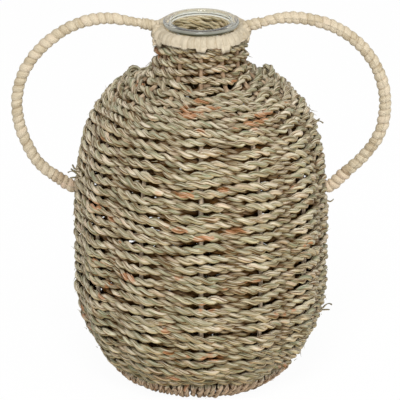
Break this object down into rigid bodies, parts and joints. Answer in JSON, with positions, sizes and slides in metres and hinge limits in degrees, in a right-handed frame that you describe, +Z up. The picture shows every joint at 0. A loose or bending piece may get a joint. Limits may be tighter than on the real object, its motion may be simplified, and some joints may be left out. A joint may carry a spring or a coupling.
{
  "type": "jug vase",
  "caption": "Round woven rope jug vase with two wrapped loop handles and a lift-out glass tube hung in its neck.",
  "frame": {"origin": "centre of the flat underside of the foot", "axes": "+Z up along the vase's axis, X through the two handles, -Y towards the front"},
  "size_m": [0.332, 0.2262, 0.3365],
  "materials": {
    "clear_glass": "clear, faint green tint, polished",
    "grass_rope": "dry twisted grass rope, grey-green to tan with brown and orange strands",
    "border_rope": "dry twisted grass rope",
    "floor_rope": "dry twisted grass rope",
    "rib_cord": "tan wound cord",
    "wire": "plain wire, hidden inside",
    "pale_strip": "pale flat fibre strip, matt",
    "collar_strip": "pale flat fibre strip, matt",
    "tan_strip": "darker flat fibre strip, matt"
  },
  "bodies": {
    "basket": {"neck_ring": "wire", "neck_collar": "collar_strip", "woven_wall": "grass_rope", "rib_01": "rib_cord", "rib_02": "rib_cord", "rib_03": "rib_cord", "rib_04": "rib_cord", "rib_05": "rib_cord", "rib_06": "rib_cord", "rib_07": "rib_cord", "rib_08": "rib_cord", "rib_09": "rib_cord", "rib_10": "rib_cord", "rib_11": "rib_cord", "rib_12": "rib_cord", "base_ring": "wire", "foot_border": "border_rope", "woven_base": "floor_rope", "handle_core_left": "wire", "handle_core_right": "wire", "handle_wrap_left": "pale_strip", "handle_wrap_right": "pale_strip", "collar_lashing_left": "pale_strip", "collar_lashing_right": "pale_strip", "wall_lashing_left": "tan_strip", "wall_lashing_right": "tan_strip"},
    "glass": {"glass_insert": "clear_glass"}
  },
  "joints": [
    {"name": "glass_lift", "type": "slide", "parent": "basket", "child": "glass", "axis": [0, 0, 1], "range_m": [0, 0.26]}
  ]
}
